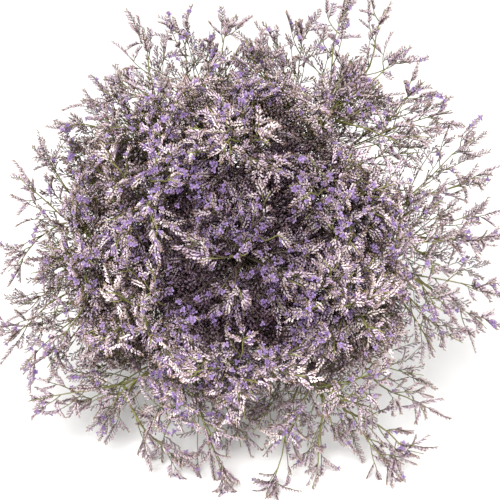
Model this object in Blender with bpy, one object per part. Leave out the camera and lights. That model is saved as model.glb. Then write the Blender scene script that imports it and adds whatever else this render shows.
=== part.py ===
"""A bunch of dried statice, tied by a band and lying down on its cut ends and its lowest flowers.

Lengths are in metres. The bunch is built upright in its own frame, with the middle of the tie at the
origin and the stalks along +Z, and an empty then lays it down. Each flowering stem is one grown piece.
"""

import itertools
import math
import random

import bmesh
import bpy
from mathutils import Matrix, Vector

# The stalks in the tie
STALK_RADIUS = 0.0020
STALK_TIP_RADIUS = 0.0014
STALK_SPACING = 0.0044
STALK_SIDES = 6
FOOT_LENGTH = 0.130
FOOT_UNEVEN = 0.006
FOOT_FLARE = 0.55
RING_TURN = 30.0

# How the stalks part above the tie
PARTED_BY = 0.080
SPREAD = 0.283
STALK_LEVELS = (0.0, 0.020, 0.045, 0.080)
STALK_TOPS = (0.385, 0.350, 0.300)
FIRST_BRANCH = 0.125
NODE_SPACING = 0.008
SHORTEST_BRANCH = 0.026
SHORTEST_PIECE = 0.002

# The head
HEAD_TOP = 0.440
HEAD_DROP = 0.140
HEAD_DROP_AT = 0.200
RIM_HEIGHT = 0.280
RIM_UNEVEN = 0.025
SEARCH_RADIUS = 0.120
SEARCH_TRIES = 60

# What fills the head, for the middle stem and for the inner and the outer ring. Each entry is a number of
# tips, their least and most depth under the dome, and their least and most reach from the axis.
FILLING = (
    ((9, 0.000, 0.025, 0.000, 0.165), (1, 0.050, 0.080, 0.000, 0.165)),
    ((9, 0.000, 0.025, 0.000, 0.165), (1, 0.050, 0.080, 0.000, 0.165)),
    ((6, 0.000, 0.020, 0.090, 0.185), (3, 0.070, 0.120, 0.090, 0.170)),
)

# How the bunch lies
TILT = math.radians(24.5)
TIE_HEIGHT = 0.0645
REST_HEIGHT = 0.0040
SURFACE_SIZE = 2.0

# Branches and flowers
BRANCH_RADIUS = 0.0013
TWIG_RADIUS = 0.0010
NECK_RADIUS = 0.0008
TWIG_SIDES = 3
LEAVING_ANGLE = math.radians(42.0)
FORK_AT = 0.45
BOW = 0.55
BOW_REACH = 0.45
FLOWER_LENGTH = 0.0190
FLOWER_RADIUS = 0.0108
FLOWER_SIDES = 3
FLOWER_NECK = 0.0004
FLOWER_ANGLE = math.radians(50.0)
FLOWER_STEP = 0.0160
FLOWERS_PER_TWIG = 3
FLOWER_FIRST = 0.35
FLOWER_SIZES = (1.0, 0.8, 0.6, 0.45, 0.3)
SWINGS = (0, 40, -40, 80, -80, 120, -120, 180)
SWAY = 12
DEEPEST_SHARE = 0.9
HEAD_AT = 0.8

# Gaps inside a stem
HEAD_GAP = 0.0150
TWIG_GAP = 0.0070

# Gaps that keep the stems apart
WALL_GAP = 0.0002
TIP_CLEARANCE = 0.0060
FLOOR_DIP = -0.0040

# The band
BAND_WIDTH = 0.006
BAND_THICKNESS = 0.0016
BAND_GAP = 0.0003
BAND_ARC_POINTS = 3
BAND_ARC = 60.0

# Colours
STALK_GREEN = (0.115, 0.120, 0.048)
FLOWER_VIOLET = (0.270, 0.200, 0.300)
RUBBER = (0.420, 0.270, 0.130)

SEED = 1348

# The furthest sprigs round the head: degrees counter-clockwise from +X, and reach from the axis
SPRIGS = (
    (2, 0.222), (11, 0.222), (18, 0.233), (27, 0.238), (35, 0.230), (44, 0.222), (52, 0.236),
    (60, 0.258), (68, 0.244), (77, 0.222), (85, 0.210), (92, 0.214), (99, 0.206), (107, 0.224),
    (114, 0.226), (124, 0.204), (136, 0.202), (145, 0.204), (153, 0.217), (161, 0.214), (171, 0.184),
    (184, 0.212), (193, 0.214), (200, 0.230), (207, 0.226), (214, 0.234), (221, 0.212), (231, 0.202),
    (240, 0.184), (248, 0.203), (257, 0.196), (266, 0.210), (275, 0.212), (286, 0.214), (297, 0.192),
    (305, 0.245), (312, 0.238), (318, 0.218), (326, 0.196), (333, 0.192), (338, 0.212), (343, 0.230),
    (351, 0.230),
)


def polar(length, degrees):
    """A point in the plane at a length and an angle from +X."""
    angle = math.radians(degrees)
    return Vector((length * math.cos(angle), length * math.sin(angle)))


def stalk_sites():
    """Where the 13 stalks stand in the tie, in stalk spacings: one, six round it and six in the notches."""
    sites = [(0, Vector((0.0, 0.0)))]
    sites += [(1, polar(1.0, RING_TURN + 60 * k)) for k in range(6)]
    sites += [(2, polar(math.sqrt(3), RING_TURN + 30 + 60 * k)) for k in range(6)]
    return sites


SITES = stalk_sites()
LOWEST_STEMS = (10, 11)


def spacing_at(height):
    """The stalks' spacing at a height: flared at the foot, even in the tie and widening above it."""
    if height < 0:
        return STALK_SPACING * (1 + FOOT_FLARE * (height / FOOT_LENGTH) ** 2)
    if height < PARTED_BY:
        return STALK_SPACING + SPREAD * height**2 / (2 * PARTED_BY)
    return STALK_SPACING + SPREAD * (height - PARTED_BY / 2)


def stalk_point(stem, height):
    """A point on the middle line of a stem's stalk."""
    site = SITES[stem][1] * spacing_at(height)
    return Vector((site.x, site.y, height))


def walls_round(stem):
    """The walls halfway to each other stalk, which widen with the stalks and keep the stems apart."""
    mine = SITES[stem][1]
    walls = []
    for other, (_, site) in enumerate(SITES):
        if other != stem:
            way = (site - mine).normalized()
            walls.append((way, way.dot(site + mine) / 2))
    return walls


WALLS = [walls_round(stem) for stem in range(len(SITES))]


def height_off_floor(point):
    """How high a point of the bunch lies over the surface once the bunch lies down."""
    return TIE_HEIGHT + point.z * math.sin(TILT) + point.y * math.cos(TILT)


def has_room(stem, point, gap, floor=FLOOR_DIP):
    """Whether a point is within a stem's own walls and over the surface."""
    spacing = spacing_at(point.z)
    if height_off_floor(point) < floor:
        return False
    return all(way.x * point.x + way.y * point.y <= share * spacing - gap for way, share in WALLS[stem])


def dome_height(reach):
    """The height of the head's top over a point this far from the axis."""
    return HEAD_TOP - HEAD_DROP * (reach / HEAD_DROP_AT) ** 2


def sprig_tips(stem, chance):
    """The furthest tips that grow from this stem."""
    tips = []
    for degrees, reach in SPRIGS:
        flat = polar(reach, degrees)
        tip = Vector((flat.x, flat.y, RIM_HEIGHT + chance.uniform(-RIM_UNEVEN, RIM_UNEVEN)))
        low = REST_HEIGHT - height_off_floor(tip)
        if low > 0:
            tip.z += low / math.sin(TILT)
        if has_room(stem, tip, 0):
            tips.append(tip)
    return tips


def nearest_on(line, point):
    """The distance from a point to a line of several pieces."""
    least = 1.0
    for k in range(1, len(line)):
        piece = line[k] - line[k - 1]
        share = min(max((point - line[k - 1]).dot(piece) / piece.length_squared, 0), 1)
        least = min(least, (line[k - 1] + piece * share - point).length)
    return least


def filling_tips(stem, stalk, entry, taken, chance):
    """Tips spread evenly through a stem's share of the head, at depths under its dome."""
    wanted, shallow, deep, least, most = entry
    middle = stalk_point(stem, HEAD_TOP - HEAD_DROP / 2)
    tips = []
    for _ in range(wanted):
        best = None
        best_gap = -1.0
        for _ in range(SEARCH_TRIES):
            flat = middle.xy + polar(chance.uniform(0, SEARCH_RADIUS), chance.uniform(0, 360))
            tip = Vector((flat.x, flat.y, dome_height(flat.length) - chance.uniform(shallow, deep)))
            if not least <= flat.length <= most or nearest_on(stalk, tip) < SHORTEST_BRANCH:
                continue
            if not has_room(stem, tip, TIP_CLEARANCE, REST_HEIGHT):
                continue
            gap = min(((tip - other).length for other in taken), default=1.0)
            if gap > best_gap:
                best = tip
                best_gap = gap
        if best is not None:
            tips.append(best)
            taken.append(best)
    return tips


def in_pairs(tips):
    """Neighbouring tips two by two, each pair for one branch."""
    left = sorted(tips, key=lambda tip: (tip.z, tip.x))
    pairs = []
    while left:
        first = left.pop(0)
        if left:
            near = min(left, key=lambda tip: (tip - first).length)
            left.remove(near)
            pairs.append((first, near))
        else:
            pairs.append((first,))
    return pairs


def bend(start, pull, end, t):
    """A point on the bow from start to end that leaves towards pull."""
    return start * (1 - t) ** 2 + pull * 2 * t * (1 - t) + end * t**2


def bowed(start, leaving, end, steps):
    """Points of a branch that leaves in one direction and arches over to its end."""
    chord = end - start
    pull = start + (chord.normalized() + leaving * BOW).normalized() * chord.length * BOW_REACH
    return [bend(start, pull, end, t) for t in steps]


def leaving_height(stem, group, along):
    """The height on the stalk from which a branch reaches the middle of its tips at the leaving angle."""
    middle = sum(group, Vector()) / len(group)
    beside = stalk_point(stem, middle.z)
    ahead = (middle - beside).dot(along)
    off = (middle - beside - along * ahead).length
    return middle.z + (ahead - off / math.tan(LEAVING_ANGLE)) * along.z


def branches_of(stem, taken):
    """The middle lines of a stem: its stalk, then each branch with the twig that forks off it."""
    chance = random.Random(SEED + stem)
    ring = SITES[stem][0]
    shorter = chance.uniform(0, FOOT_UNEVEN)
    foot = -FOOT_LENGTH + (0 if stem in LOWEST_STEMS else shorter)
    top = STALK_TOPS[ring]
    stalk = [stalk_point(stem, height) for height in (foot, foot / 2) + STALK_LEVELS]
    stalk += [stalk_point(stem, PARTED_BY + (top - PARTED_BY) * t) for t in (0.5, 1.0)]
    along = (stalk[-1] - stalk[-2]).normalized()
    sprigs = sprig_tips(stem, chance)
    taken.extend(sprigs)
    tips = []
    for entry in FILLING[ring]:
        tips += filling_tips(stem, stalk, entry, taken, chance)
    groups = [(leaving_height(stem, group, along), group) for group in in_pairs(sprigs) + in_pairs(tips)]
    groups.sort(key=lambda item: -item[0])
    highest = top - NODE_SPACING / 2
    twigs = []
    for level, group in groups:
        highest = min(max(level, FIRST_BRANCH), highest)
        root = stalk_point(stem, highest)
        highest -= NODE_SPACING
        first = bowed(root, along, group[0], (0, FORK_AT, 1))
        twigs.append(first)
        if len(group) > 1:
            leaving = (first[2] - first[0]).normalized()
            twigs.append(bowed(first[1], leaving, group[1], (0, 0.5, 1)))
    return stalk, twigs


def limb(points, radii, sides, twist=0.0):
    """A closed limb: a ring at the first point, turned by a twist and extruded from point to point."""
    shape = bmesh.new()
    axis = (points[1] - points[0]).normalized()
    facing = Matrix.Translation(points[0]) @ axis.to_track_quat("Z", "Y").to_matrix().to_4x4()
    facing = facing @ Matrix.Rotation(twist, 4, "Z")
    bmesh.ops.create_circle(shape, cap_ends=True, segments=sides, radius=radii[0], matrix=facing)
    shape.faces.ensure_lookup_table()
    end = shape.faces[0]
    for k in range(1, len(points)):
        grown = bmesh.ops.extrude_face_region(shape, geom=[end])
        if k > 1:
            bmesh.ops.delete(shape, geom=[end], context="FACES_ONLY")
        end = next(item for item in grown["geom"] if isinstance(item, bmesh.types.BMFace))
        ahead = (points[min(k + 1, len(points) - 1)] - points[k - 1]).normalized()
        turn = axis.rotation_difference(ahead).to_matrix().to_4x4()
        size = Matrix.Scale(radii[k] / radii[k - 1], 4)
        move = Matrix.Translation(points[k]) @ turn @ size @ Matrix.Translation(-points[k - 1])
        bmesh.ops.transform(shape, matrix=move, verts=end.verts)
        axis = ahead
    bmesh.ops.triangulate(shape, faces=shape.faces)
    bmesh.ops.recalc_face_normals(shape, faces=shape.faces)
    return shape


def fits(stem, shape):
    """Whether a whole shape lies within its stem's walls."""
    return all(has_room(stem, corner.co, WALL_GAP) for corner in shape.verts)


def as_object(shape, name, slots, slot):
    """An object of a shape whose faces all use one material slot."""
    mesh = bpy.data.meshes.new(name)
    shape.to_mesh(mesh)
    shape.free()
    for material in slots:
        mesh.materials.append(material)
    for face in mesh.polygons:
        face.material_index = slot
    return bpy.data.objects.new(name, mesh)


def twig_shape(line, radius, mouth, twist):
    """A twig that ends in a flower, open wide at the tip."""
    last = (line[-1] - line[-2]).normalized()
    neck = line[-1] - last * FLOWER_LENGTH
    points = line[:-1] + [neck, line[-1]]
    radii = [radius] * (len(line) - 1) + [NECK_RADIUS, mouth]
    if (line[-1] - line[-2]).length < FLOWER_LENGTH + SHORTEST_PIECE:
        del points[-3], radii[-3]
    return limb(points, radii, TWIG_SIDES, twist)


def fitted_twig(stem, line, radius, twist):
    """A twig bowed as it grew, or else straighter and with a smaller end flower, so that it has room."""
    straight = [line[0].lerp(line[-1], step / (len(line) - 1)) for step in range(len(line))]
    for size in FLOWER_SIZES:
        for way in (line, straight):
            shape = twig_shape(way, radius, FLOWER_RADIUS * size, twist)
            if fits(stem, shape):
                return way, shape
            shape.free()
    raise ValueError("a twig has no room")


def flowers_along(stem, line, others, heads, chance):
    """Flowers on alternate sides along a twig's outer end, clear of the stem's other twigs and flowers."""
    shapes = []
    last = (line[-1] - line[-2]).normalized()
    side = last.orthogonal().normalized()
    side.rotate(Matrix.Rotation(chance.uniform(0, math.tau), 3, last))
    whole = line[:-1] + [line[-1] - last * FLOWER_LENGTH]
    for k in range(FLOWERS_PER_TWIG):
        foot, ahead = point_back(whole, FLOWER_STEP * (k + FLOWER_FIRST))
        for swing, size in itertools.product(SWINGS, FLOWER_SIZES[:2]):
            way = side * (-1) ** k
            way.rotate(Matrix.Rotation(math.radians(swing + chance.uniform(-SWAY, SWAY)), 3, ahead))
            way = (ahead * math.cos(FLOWER_ANGLE) + way * math.sin(FLOWER_ANGLE)).normalized()
            head = foot + way * FLOWER_LENGTH * size * HEAD_AT
            if any((head - other).length < HEAD_GAP for other in heads):
                continue
            if any(nearest_on(other, head) < TWIG_GAP for other in others if other is not line):
                continue
            points = [foot, foot + way * FLOWER_LENGTH * size]
            radii = [FLOWER_NECK, FLOWER_RADIUS * size]
            shape = limb(points, radii, FLOWER_SIDES, chance.uniform(0, math.tau))
            if fits(stem, shape):
                shapes.append(shape)
                heads.append(head)
                break
            shape.free()
    return shapes


def point_back(line, back):
    """The point this far back from a line's end, and the line's direction there."""
    for k in range(len(line) - 1, 0, -1):
        piece = line[k] - line[k - 1]
        if back <= piece.length or k == 1:
            share = min(back / piece.length, DEEPEST_SHARE)
            return line[k] - piece * share, piece.normalized()
        back -= piece.length
    return line[0], (line[1] - line[0]).normalized()


def apply_modifiers(thing):
    """The object's mesh as its modifiers leave it."""
    bpy.context.view_layer.update()
    seen = thing.evaluated_get(bpy.context.evaluated_depsgraph_get())
    mesh = bpy.data.meshes.new_from_object(seen)
    thing.modifiers.clear()
    thing.data = mesh


def keep_largest(mesh):
    """Drops loose scraps and fills sealed hollows: all shells but the one with the most faces."""
    shape = bmesh.new()
    shape.from_mesh(mesh)
    left = set(shape.faces)
    shells = []
    while left:
        shell = {left.pop()}
        edge_of_shell = list(shell)
        while edge_of_shell:
            face = edge_of_shell.pop()
            for edge in face.edges:
                for other in edge.link_faces:
                    if other not in shell:
                        shell.add(other)
                        edge_of_shell.append(other)
        left -= shell
        shells.append(shell)
    shells.sort(key=len)
    for shell in shells[:-1]:
        bmesh.ops.delete(shape, geom=list(shell), context="FACES")
    loose = [corner for corner in shape.verts if not corner.link_faces]
    bmesh.ops.delete(shape, geom=loose, context="VERTS")
    shape.to_mesh(mesh)
    shape.free()
    return len(shells) - 1


def build_stem(stem, taken, slots, lying, floor):
    """One flowering stem, joined into one solid and cut flat where it presses on the surface."""
    name = f"spray_{stem + 1:02d}"
    chance = random.Random(SEED - stem - 1)
    stalk, twigs = branches_of(stem, taken)
    radii = [STALK_RADIUS] * (len(stalk) - 2) + [(STALK_RADIUS + STALK_TIP_RADIUS) / 2, STALK_TIP_RADIUS]
    stem_object = as_object(limb(stalk, radii, STALK_SIDES), name, slots, 0)
    bpy.context.scene.collection.objects.link(stem_object)
    stem_object.parent = lying
    repeats = bpy.data.collections.new(name + "_twigs")
    bpy.context.scene.collection.children.link(repeats)
    shapes = []
    roots = [line[0] for line in twigs if nearest_on(stalk, line[0]) < STALK_TIP_RADIUS]
    for k, line in enumerate(twigs):
        radius = BRANCH_RADIUS if line[0] in roots else TWIG_RADIUS
        twist = chance.uniform(0, math.tau)
        twigs[k], shape = fitted_twig(stem, line, radius, twist)
        shapes.append((shape, 0))
    heads = [line[-1] for line in twigs]
    for line in twigs:
        shapes += [(flower, 1) for flower in flowers_along(stem, line, twigs + [stalk], heads, chance)]
    for shape, slot in shapes:
        twig = as_object(shape, name + "_twig", slots, slot)
        twig.parent = lying
        repeats.objects.link(twig)
    join = stem_object.modifiers.new("join", "BOOLEAN")
    join.operation = "UNION"
    join.operand_type = "COLLECTION"
    join.collection = repeats
    join.solver = "MANIFOLD"
    press = stem_object.modifiers.new("press", "BOOLEAN")
    press.operation = "DIFFERENCE"
    press.object = floor
    press.solver = "MANIFOLD"
    apply_modifiers(stem_object)
    for twig in list(repeats.objects):
        bpy.data.objects.remove(twig)
    bpy.data.collections.remove(repeats)
    dropped = keep_largest(stem_object.data)
    print(name, "twigs", len(twigs), "flowers", len(heads), "shells dropped", dropped)
    return stem_object


def build_band(material, lying):
    """The band: a sleeve round the six outer stalks, thickened outwards."""
    shape = bmesh.new()
    outer = [site for ring, site in SITES if ring == 2]
    loop = []
    for site in outer:
        middle = site * STALK_SPACING
        facing = math.degrees(math.atan2(site.y, site.x))
        for k in range(BAND_ARC_POINTS):
            turn = facing - BAND_ARC / 2 + BAND_ARC * k / (BAND_ARC_POINTS - 1)
            spot = middle + polar(STALK_RADIUS + BAND_GAP, turn)
            loop.append(shape.verts.new((spot.x, spot.y, -BAND_WIDTH / 2)))
    edges = [shape.edges.new((loop[k - 1], loop[k])) for k in range(len(loop))]
    raised = bmesh.ops.extrude_edge_only(shape, edges=edges)["geom"]
    corners = [item for item in raised if isinstance(item, bmesh.types.BMVert)]
    bmesh.ops.translate(shape, vec=(0, 0, BAND_WIDTH), verts=corners)
    bmesh.ops.recalc_face_normals(shape, faces=shape.faces)
    if shape.faces[:][0].normal.dot(shape.faces[:][0].calc_center_median()) < 0:
        bmesh.ops.reverse_faces(shape, faces=shape.faces)
    band = as_object(shape, "tie_band", [material], 0)
    bpy.context.scene.collection.objects.link(band)
    band.parent = lying
    thick = band.modifiers.new("thickness", "SOLIDIFY")
    thick.thickness = BAND_THICKNESS
    thick.offset = 1.0
    band.data.shade_smooth()
    return band


def plain_material(name, colour, roughness):
    """A dull material of one colour."""
    material = bpy.data.materials.new(name)
    material.use_nodes = True
    shader = material.node_tree.nodes["Principled BSDF"]
    shader.inputs["Base Color"].default_value = (*colour, 1)
    shader.inputs["Roughness"].default_value = roughness
    shader.inputs["Metallic"].default_value = 0.0
    return material


def build():
    for thing in list(bpy.data.objects):
        bpy.data.objects.remove(thing)
    rubber = plain_material("band_rubber", RUBBER, 0.55)
    lying = bpy.data.objects.new("lying", None)
    bpy.context.scene.collection.objects.link(lying)
    lying.rotation_euler = (math.pi / 2 - TILT, 0, 0)
    lying.location = (0, 0, TIE_HEIGHT)
    floor_shape = bmesh.new()
    bmesh.ops.create_cube(floor_shape, size=SURFACE_SIZE)
    bmesh.ops.translate(floor_shape, vec=(0, 0, -SURFACE_SIZE / 2), verts=floor_shape.verts)
    floor = as_object(floor_shape, "surface", [], 0)
    floor.hide_render = True
    floor.display_type = "WIRE"
    bpy.context.scene.collection.objects.link(floor)
    taken = []
    nodes = [build_band(rubber, lying)]
    order = sorted(range(len(SITES)), key=lambda stem: -SITES[stem][0])
    for stem in order:
        number = f"{stem + 1:02d}"
        slots = [
            plain_material("stalk_" + number, STALK_GREEN, 0.75),
            plain_material("flower_" + number, FLOWER_VIOLET, 0.85),
        ]
        nodes.append(build_stem(stem, taken, slots, lying, floor))
    bpy.data.objects.remove(floor)
    bpy.context.view_layer.update()
    corners = [node.matrix_world @ corner.co for node in nodes for corner in node.data.vertices]
    middle_x = (min(c.x for c in corners) + max(c.x for c in corners)) / 2
    middle_y = (min(c.y for c in corners) + max(c.y for c in corners)) / 2
    lying.location = (-middle_x, -middle_y, TIE_HEIGHT)
    bpy.context.view_layer.update()


build()
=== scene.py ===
# %% [markdown]
# A bunch of dried statice, seen from above its head.
# The real thing is a dozen or so cut stems of the fine, many-branched kind that is sold dried, held by an
# elastic band. Each stem forks into branches, the branches into branchlets, and these carry short one-sided
# spikes of papery flowers. The solid model has every stem with its branches and a few coarse flowers. Here
# each stem is dressed with fine branchlets, thousands of small calyces, and violet petals on some of them.

# %% The fixed frame
import math
import random

import bmesh
import bpy
import numpy as np
from mathutils import Matrix, Vector


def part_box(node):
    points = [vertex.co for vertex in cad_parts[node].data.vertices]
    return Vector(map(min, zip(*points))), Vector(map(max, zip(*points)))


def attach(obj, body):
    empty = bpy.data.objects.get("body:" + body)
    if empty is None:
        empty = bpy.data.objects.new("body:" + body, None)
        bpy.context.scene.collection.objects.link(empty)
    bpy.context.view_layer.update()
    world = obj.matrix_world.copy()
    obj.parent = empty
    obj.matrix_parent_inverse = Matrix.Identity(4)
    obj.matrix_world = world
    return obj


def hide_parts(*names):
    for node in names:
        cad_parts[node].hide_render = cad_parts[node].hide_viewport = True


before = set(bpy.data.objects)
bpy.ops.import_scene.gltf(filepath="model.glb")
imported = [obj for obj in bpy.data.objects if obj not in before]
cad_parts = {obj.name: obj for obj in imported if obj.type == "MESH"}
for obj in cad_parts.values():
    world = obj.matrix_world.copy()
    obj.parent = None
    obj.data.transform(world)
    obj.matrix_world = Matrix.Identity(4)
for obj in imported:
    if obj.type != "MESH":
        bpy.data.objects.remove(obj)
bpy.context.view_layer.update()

print("nodes", sorted(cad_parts))

# %% [markdown]
# The bunch's own frame. A bunch grows round an axis, so every shape is worked out upright, with the tie at
# the origin and the stalks along +Z, as the solid model was. One matrix then lays it down.

# %% How the bunch lies
TILT = math.radians(24.5)
TIE_HEIGHT = 0.0645
band_low, band_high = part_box("tie_band")
tie = (band_low + band_high) / 2
LYING = Matrix.Translation((tie.x, tie.y, TIE_HEIGHT)) @ Matrix.Rotation(math.pi / 2 - TILT, 4, "X")
print("tie at", [round(c * 1000, 1) for c in LYING.translation], "mm")

# %% [markdown]
# The stalks in the tie. Round stalks that are squeezed by a band pack like coins: one in the middle, six
# round it and six in the notches. They run side by side below the tie and spread like a fan above it. The
# same numbers as in the solid model are used, so that each fine stem lies along its solid one.

# %% Where the stalks run
STALK_SPACING = 0.0044
FOOT_LENGTH = 0.130
FOOT_UNEVEN = 0.006
FOOT_FLARE = 0.55
RING_TURN = 30.0
PARTED_BY = 0.080
SPREAD = 0.283
STALK_LEVELS = (0.0, 0.020, 0.045, 0.080)
STALK_TOPS = (0.385, 0.350, 0.300)
LOWEST_STEMS = (10, 11)
SEED = 1348


def polar(length, degrees):
    """A point in the plane at a length and an angle from +X."""
    angle = math.radians(degrees)
    return Vector((length * math.cos(angle), length * math.sin(angle)))


SITES = [(0, Vector((0.0, 0.0)))]
SITES += [(1, polar(1.0, RING_TURN + 60 * k)) for k in range(6)]
SITES += [(2, polar(math.sqrt(3), RING_TURN + 30 + 60 * k)) for k in range(6)]


def spacing_at(height):
    """The stalks' spacing at a height: flared at the foot, even in the tie and widening above it."""
    if height < 0:
        return STALK_SPACING * (1 + FOOT_FLARE * (height / FOOT_LENGTH) ** 2)
    if height < PARTED_BY:
        return STALK_SPACING + SPREAD * height**2 / (2 * PARTED_BY)
    return STALK_SPACING + SPREAD * (height - PARTED_BY / 2)


def stalk_point(stem, height):
    """A point on the middle line of a stem's stalk."""
    site = SITES[stem][1] * spacing_at(height)
    return Vector((site.x, site.y, height))


fan = 2 * math.sqrt(3) * spacing_at(0.3)
print(len(SITES), "stalks, spread over", round(fan * 1000), "mm at 300 mm above the tie")

# %% [markdown]
# Room for each stem. In the head every stem fills its own share, like a slice of a cone between its
# neighbours. The shares are walls halfway between the stalks. The solid model's branches were placed with
# them, and the same rule and seeds bring each branch back to its solid.

# %% The walls between the stems
REST_HEIGHT = 0.0040
FLOOR_DIP = -0.0040
TIP_CLEARANCE = 0.0060


def walls_round(stem):
    """The walls halfway to each other stalk, which widen with the stalks."""
    mine = SITES[stem][1]
    walls = []
    for other, (_, site) in enumerate(SITES):
        if other != stem:
            way = (site - mine).normalized()
            walls.append((way, way.dot(site + mine) / 2))
    return walls


WALLS = [walls_round(stem) for stem in range(len(SITES))]


def height_off_floor(point):
    """How high a point of the bunch lies over the surface once the bunch lies down."""
    return TIE_HEIGHT + point.z * math.sin(TILT) + point.y * math.cos(TILT)


def has_room(stem, point, gap, floor=FLOOR_DIP):
    """Whether a point is within a stem's own walls and over the surface."""
    spacing = spacing_at(point.z)
    if height_off_floor(point) < floor:
        return False
    return all(way.x * point.x + way.y * point.y <= share * spacing - gap for way, share in WALLS[stem])


print("walls round the middle stem", len(WALLS[0]))

# %% [markdown]
# The tips at the rim. From above, the head is a ragged disc: long sprigs stand out all round its rim, and the
# tips between them make a low dome. The sprigs decide the outline, so they are given one by one, as an angle
# and a reach. Each belongs to the stem in whose share its tip lies.

# %% Where the sprigs at the rim end
HEAD_TOP = 0.440
HEAD_DROP = 0.140
HEAD_DROP_AT = 0.200
RIM_HEIGHT = 0.280
RIM_UNEVEN = 0.025
SPRIGS = (
    (2, 0.222), (11, 0.222), (18, 0.233), (27, 0.238), (35, 0.230), (44, 0.222), (52, 0.236),
    (60, 0.258), (68, 0.244), (77, 0.222), (85, 0.210), (92, 0.214), (99, 0.206), (107, 0.224),
    (114, 0.226), (124, 0.204), (136, 0.202), (145, 0.204), (153, 0.217), (161, 0.214), (171, 0.184),
    (184, 0.212), (193, 0.214), (200, 0.230), (207, 0.226), (214, 0.234), (221, 0.212), (231, 0.202),
    (240, 0.184), (248, 0.203), (257, 0.196), (266, 0.210), (275, 0.212), (286, 0.214), (297, 0.192),
    (305, 0.245), (312, 0.238), (318, 0.218), (326, 0.196), (333, 0.192), (338, 0.212), (343, 0.230),
    (351, 0.230),
)


def dome_height(reach):
    """The height of the head's top over a point this far from the axis."""
    return HEAD_TOP - HEAD_DROP * (reach / HEAD_DROP_AT) ** 2


def reach_of(points):
    """How far points lie from the axis."""
    return np.linalg.norm(points[..., :2], axis=-1)


def sprig_tips(stem, chance):
    """The furthest tips that grow from this stem."""
    tips = []
    for degrees, reach in SPRIGS:
        flat = polar(reach, degrees)
        tip = Vector((flat.x, flat.y, RIM_HEIGHT + chance.uniform(-RIM_UNEVEN, RIM_UNEVEN)))
        low = REST_HEIGHT - height_off_floor(tip)
        if low > 0:
            tip.z += low / math.sin(TILT)
        if has_room(stem, tip, 0):
            tips.append(tip)
    return tips


print(len(SPRIGS), "sprigs that reach", min(SPRIGS, key=lambda item: item[1])[1], "m and more from the axis")

# %% [markdown]
# The tips inside the rim. They fill the dome evenly but in no pattern. So each new tip is the one of many
# chance spots that lies furthest from the tips before it. Each stem's numbers are given by its ring in the
# tie: how many tips, between which depths under the dome, and between which reaches from the axis.

# %% Where the other branches end
SEARCH_RADIUS = 0.120
SEARCH_TRIES = 60
SHORTEST_BRANCH = 0.026
INNER_FILLING = ((9, 0.000, 0.025, 0.000, 0.165), (1, 0.050, 0.080, 0.000, 0.165))
OUTER_FILLING = ((6, 0.000, 0.020, 0.090, 0.185), (3, 0.070, 0.120, 0.090, 0.170))
FILLING = (INNER_FILLING, INNER_FILLING, OUTER_FILLING)


def nearest_on(line, point):
    """The distance from a point to a line of several pieces."""
    least = 1.0
    for k in range(1, len(line)):
        piece = line[k] - line[k - 1]
        share = min(max((point - line[k - 1]).dot(piece) / piece.length_squared, 0), 1)
        least = min(least, (line[k - 1] + piece * share - point).length)
    return least


def filling_tips(stem, stalk, entry, taken, chance):
    """Tips spread evenly through a stem's share of the head, at depths under its dome."""
    wanted, shallow, deep, least, most = entry
    middle = stalk_point(stem, HEAD_TOP - HEAD_DROP / 2)
    tips = []
    for _ in range(wanted):
        best = None
        best_gap = -1.0
        for _ in range(SEARCH_TRIES):
            flat = middle.xy + polar(chance.uniform(0, SEARCH_RADIUS), chance.uniform(0, 360))
            tip = Vector((flat.x, flat.y, dome_height(flat.length) - chance.uniform(shallow, deep)))
            if not least <= flat.length <= most or nearest_on(stalk, tip) < SHORTEST_BRANCH:
                continue
            if not has_room(stem, tip, TIP_CLEARANCE, REST_HEIGHT):
                continue
            gap = min(((tip - other).length for other in taken), default=1.0)
            if gap > best_gap:
                best = tip
                best_gap = gap
        if best is not None:
            tips.append(best)
            taken.append(best)
    return tips


# %% [markdown]
# From tip back to stalk. A branch of this plant leaves its stalk at about 40 degrees and arches over to its
# tip, and most branches fork once on the way. So neighbouring tips are paired, one branch runs to the first
# tip, and a second leaves it halfway. A bow with one pull point is the simplest curve that arches like this.

# %% The bow of each branch
LEAVING_ANGLE = math.radians(42.0)
BOW = 0.55
BOW_REACH = 0.45


def in_pairs(tips):
    """Neighbouring tips two by two, each pair for one branch."""
    left = sorted(tips, key=lambda tip: (tip.z, tip.x))
    pairs = []
    while left:
        first = left.pop(0)
        if left:
            near = min(left, key=lambda tip: (tip - first).length)
            left.remove(near)
            pairs.append((first, near))
        else:
            pairs.append((first,))
    return pairs


def bow(start, leaving, end):
    """The three points that give a branch's arch: its start, the point it first makes for, and its end."""
    chord = end - start
    pull = start + (chord.normalized() + leaving * BOW).normalized() * chord.length * BOW_REACH
    return np.array((start, pull, end))


def on_bow(arch, share):
    """The points on an arch at one share of its way, or at several. Its further rows are its waves."""
    t = np.asarray(share, float)[..., None]
    place = arch[0] * (1 - t) ** 2 + arch[1] * 2 * t * (1 - t) + arch[2] * t**2
    for wave, row in enumerate(arch[3:]):
        place = place + row * np.sin((2 * wave + 3) * math.pi * t)
    return place


def leaving_height(stem, group, along):
    """The height on the stalk from which a branch reaches the middle of its tips at the leaving angle."""
    middle = sum(group, Vector()) / len(group)
    beside = stalk_point(stem, middle.z)
    ahead = (middle - beside).dot(along)
    off = (middle - beside - along * ahead).length
    return middle.z + (ahead - off / math.tan(LEAVING_ANGLE)) * along.z


sample = bow(Vector((0, 0, 0.2)), Vector((0, 0, 1)), Vector((0.1, 0, 0.3)))
print("a branch's bow bends", round(float(on_bow(sample, 0.5)[2] - 0.25) * 1000, 1), "mm from straight")

# %% [markdown]
# Each stem's main branches. The outer stems come first, since the longest sprigs are theirs, and the tips of
# the inner ones then keep clear of them. On a stalk the branches leave from the top down, a few millimetres
# apart at least, and none leaves below the head.

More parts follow.
